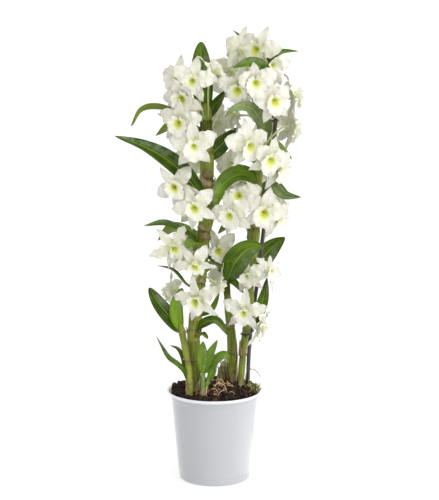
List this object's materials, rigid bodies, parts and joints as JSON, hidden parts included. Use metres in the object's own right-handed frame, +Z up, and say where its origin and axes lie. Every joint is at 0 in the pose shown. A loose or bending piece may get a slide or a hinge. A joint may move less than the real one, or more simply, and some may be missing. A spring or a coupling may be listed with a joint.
{
  "type": "potted dendrobium orchid",
  "caption": "Potted dendrobium orchid: leafy canes with white, green-throated blooms, tied to a dark stake, in a white tapered plastic pot filled with a bark mix.",
  "frame": {"origin": "centre of the pot's flat foot, on the surface it stands on", "axes": "+Z up along the canes, -Y towards the front of the plant, +X to the right as seen from the front"},
  "size_m": [0.2297, 0.1462, 0.5742],
  "materials": {
    "pot_plastic": "smooth moulded plastic, near white, soft gloss",
    "bark_mix": "loose dark bark and peat, matte",
    "cane_green": "live green cane and leaves, waxy, leaves glossier than canes",
    "shoot_green": "young green leaves, waxy",
    "dry_sheath": "dry papery sheath over an old green-brown bulb, matte",
    "root_tan": "dry tan roots, matte",
    "stake_dark": "dark grey plastic-coated stick, satin",
    "tie_wire": "black coated wire, satin",
    "petal_white": "soft white translucent petals with a yellow-green throat, matte"
  },
  "bodies": {
    "root": {"pot": "pot_plastic", "growing_medium": "bark_mix", "cane_left_tall": "cane_green", "cane_left_short": "cane_green", "cane_middle": "cane_green", "cane_right_tall": "cane_green", "young_shoot": "shoot_green", "old_bulb": "dry_sheath", "surface_roots": "root_tan", "support_stake": "stake_dark", "stake_clip": "stake_dark", "upper_tie": "tie_wire", "lower_tie": "tie_wire", "bloom_01": "petal_white", "bloom_02": "petal_white", "bloom_03": "petal_white", "bloom_04": "petal_white", "bloom_05": "petal_white", "bloom_06": "petal_white", "bloom_07": "petal_white", "bloom_08": "petal_white", "bloom_09": "petal_white", "bloom_10": "petal_white", "bloom_11": "petal_white", "bloom_12": "petal_white", "bloom_13": "petal_white", "bloom_14": "petal_white", "bloom_15": "petal_white", "bloom_16": "petal_white", "bloom_17": "petal_white", "bloom_18": "petal_white", "bloom_19": "petal_white", "bloom_20": "petal_white", "bloom_21": "petal_white", "bloom_22": "petal_white", "bloom_23": "petal_white", "bloom_24": "petal_white", "bloom_25": "petal_white", "bloom_26": "petal_white", "bloom_27": "petal_white", "bloom_28": "petal_white", "bloom_29": "petal_white", "bloom_30": "petal_white", "bloom_31": "petal_white", "bloom_32": "petal_white", "bloom_33": "petal_white", "bloom_34": "petal_white", "bloom_35": "petal_white", "bloom_36": "petal_white", "bloom_37": "petal_white", "bloom_38": "petal_white", "bloom_39": "petal_white", "bloom_40": "petal_white", "bloom_41": "petal_white", "bloom_42": "petal_white", "bloom_43": "petal_white", "bloom_44": "petal_white", "bloom_45": "petal_white", "bloom_46": "petal_white"}
  },
  "joints": []
}
